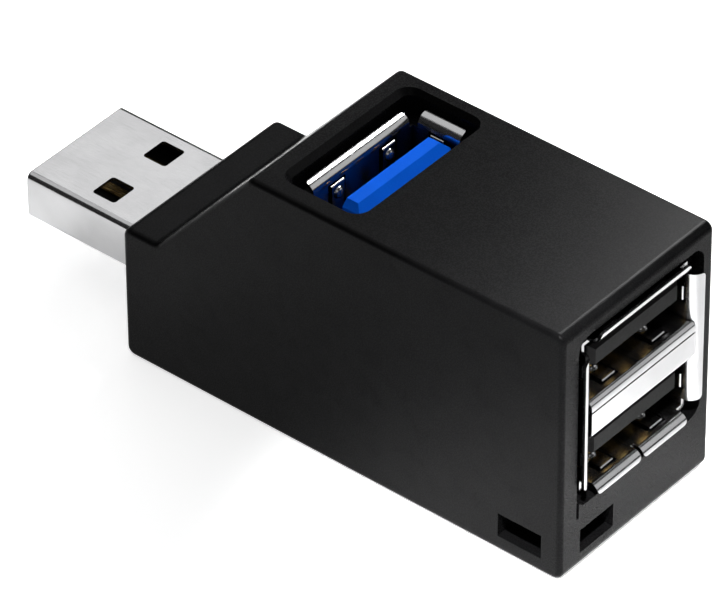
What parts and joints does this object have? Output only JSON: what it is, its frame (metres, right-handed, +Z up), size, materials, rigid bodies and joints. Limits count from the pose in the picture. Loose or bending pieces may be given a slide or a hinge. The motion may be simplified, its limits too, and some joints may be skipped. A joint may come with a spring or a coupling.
{
  "type": "usb hub",
  "caption": "Pocket hub: stepped black box with a standard-A plug on one end, a blue port in a recess on top and stacked ports in the end face.",
  "frame": {"origin": "centre of the underside of the whole hub, plug included", "axes": "+X from the plug's tip to the end face with the stacked ports, +Z up through the blue port, -Y the side with the strap hole"},
  "size_m": [0.0584, 0.0186, 0.0242],
  "materials": {
    "black_abs": "fine-grained satin",
    "plated_steel": "bright nickel plate",
    "blue_pbt": "satin moulded",
    "black_pbt": "satin moulded",
    "gold_contact": "gold-plated",
    "solder_mask": "satin",
    "epoxy": "matte",
    "tinned": "tinned",
    "white_ceramic": "satin",
    "brown_ceramic": "satin",
    "polyfuse_green": "satin"
  },
  "bodies": {
    "root": {"housing_body": "black_abs", "bottom_cover": "black_abs", "main_pcb": "solder_mask", "plug_shell": "plated_steel", "plug_insulator": "black_pbt", "plug_pin_block": "black_pbt", "plug_usb2_contacts": "gold_contact", "plug_superspeed_contacts": "gold_contact", "usb3_port_shell": "plated_steel", "usb3_port_tongue": "blue_pbt", "usb3_port_base": "black_pbt", "usb3_port_pin_guide": "black_pbt", "usb3_port_usb2_contacts": "gold_contact", "usb3_port_superspeed_contacts": "gold_contact", "stacked_port_shell": "plated_steel", "stacked_port_middle_shield": "plated_steel", "stacked_port_back_shield": "plated_steel", "stacked_port_insulator": "black_pbt", "stacked_port_pin_guide": "black_pbt", "upper_port_contacts": "gold_contact", "lower_port_contacts": "gold_contact", "hub_controller_body": "epoxy", "hub_controller_leads": "tinned", "crystal_base": "white_ceramic", "crystal_lid": "plated_steel", "capacitor_bodies": "brown_ceramic", "capacitor_terminals": "tinned", "resistor_bodies": "epoxy", "resistor_terminals": "tinned", "bulk_capacitor_bodies": "brown_ceramic", "bulk_capacitor_terminals": "tinned", "fuse_body": "polyfuse_green", "fuse_terminals": "tinned"}
  },
  "joints": []
}
